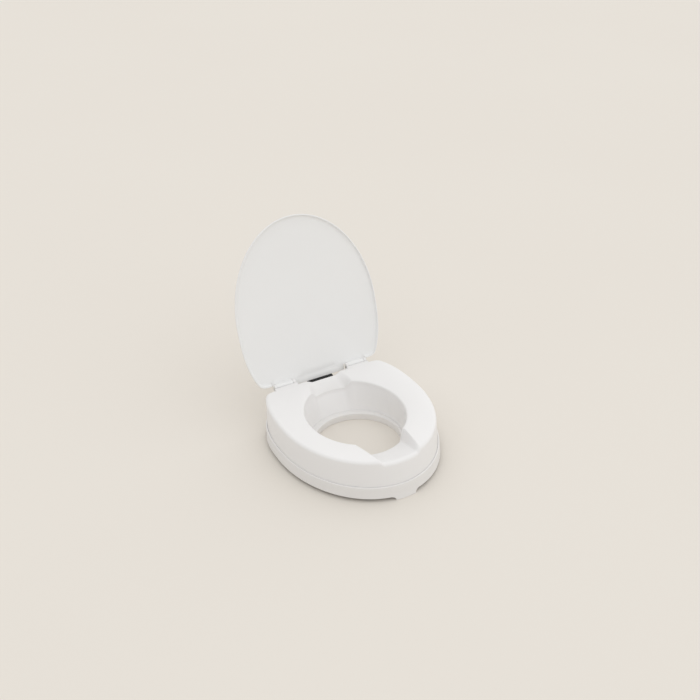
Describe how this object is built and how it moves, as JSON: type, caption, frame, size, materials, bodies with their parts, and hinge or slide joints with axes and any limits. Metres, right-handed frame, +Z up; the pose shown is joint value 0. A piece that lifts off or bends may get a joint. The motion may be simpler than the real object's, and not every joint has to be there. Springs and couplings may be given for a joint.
{
  "type": "raised toilet seat",
  "caption": "Raised toilet seat with hinged lid, oval opening, front and rear hygiene recesses, base ring with collar and rear clamps.",
  "frame": {"origin": "middle of the footprint of the seat with its lid open, on the floor under the collar's lower edge", "axes": "+Z up, front of the seat towards -Y, lid hinge along X"},
  "size_m": [0.3912, 0.5506, 0.467],
  "materials": {
    "seat_plastic": "white satin-gloss moulding",
    "base_plastic": "white satin-gloss moulding",
    "lid_plastic": "white satin-gloss moulding",
    "pin_plastic": "natural white nylon",
    "clamp_plastic": "white nylon",
    "stop_rubber": "black rubber",
    "pad_rubber": "dark grey rubber",
    "screw_steel": "stainless steel",
    "nut_brass": "plain brass"
  },
  "bodies": {
    "seat": {"seat_shell": "seat_plastic", "base_ring": "base_plastic", "hinge_pin_left": "pin_plastic", "hinge_pin_right": "pin_plastic", "lid_stop": "stop_rubber", "rim_pad_front_left": "pad_rubber", "rim_pad_front_right": "pad_rubber", "rim_pad_rear_left": "pad_rubber", "rim_pad_rear_right": "pad_rubber", "shell_screws": "screw_steel"},
    "lid": {"lid": "lid_plastic"},
    "clamp_left": {"clamp_shoe_left": "clamp_plastic", "grip_pad_left": "pad_rubber", "clamp_washer_left": "screw_steel", "clamp_nut_left": "nut_brass"},
    "clamp_right": {"clamp_shoe_right": "clamp_plastic", "grip_pad_right": "pad_rubber", "clamp_washer_right": "screw_steel", "clamp_nut_right": "nut_brass"},
    "clamp_bolt_left": {"clamp_screw_left": "screw_steel"},
    "clamp_bolt_right": {"clamp_screw_right": "screw_steel"}
  },
  "joints": [
    {"name": "lid_hinge", "type": "hinge", "parent": "seat", "child": "lid", "pos_m": [0, 0.13008, 0.0954], "axis": [1, 0, 0], "range_deg": [0, 110.3]},
    {"name": "clamp_slide_left", "type": "slide", "parent": "seat", "child": "clamp_left", "axis": [0, 1, 0], "range_m": [0, 0.018]},
    {"name": "clamp_slide_right", "type": "slide", "parent": "seat", "child": "clamp_right", "axis": [0, 1, 0], "range_m": [0, 0.018]},
    {"name": "clamp_screw_turn_left", "type": "hinge", "parent": "clamp_left", "child": "clamp_bolt_left", "pos_m": [-0.046, 0.07008, 0.005], "axis": [0, 0, 1], "continuous": true},
    {"name": "clamp_screw_turn_right", "type": "hinge", "parent": "clamp_right", "child": "clamp_bolt_right", "pos_m": [0.046, 0.07008, 0.005], "axis": [0, 0, 1], "continuous": true}
  ]
}
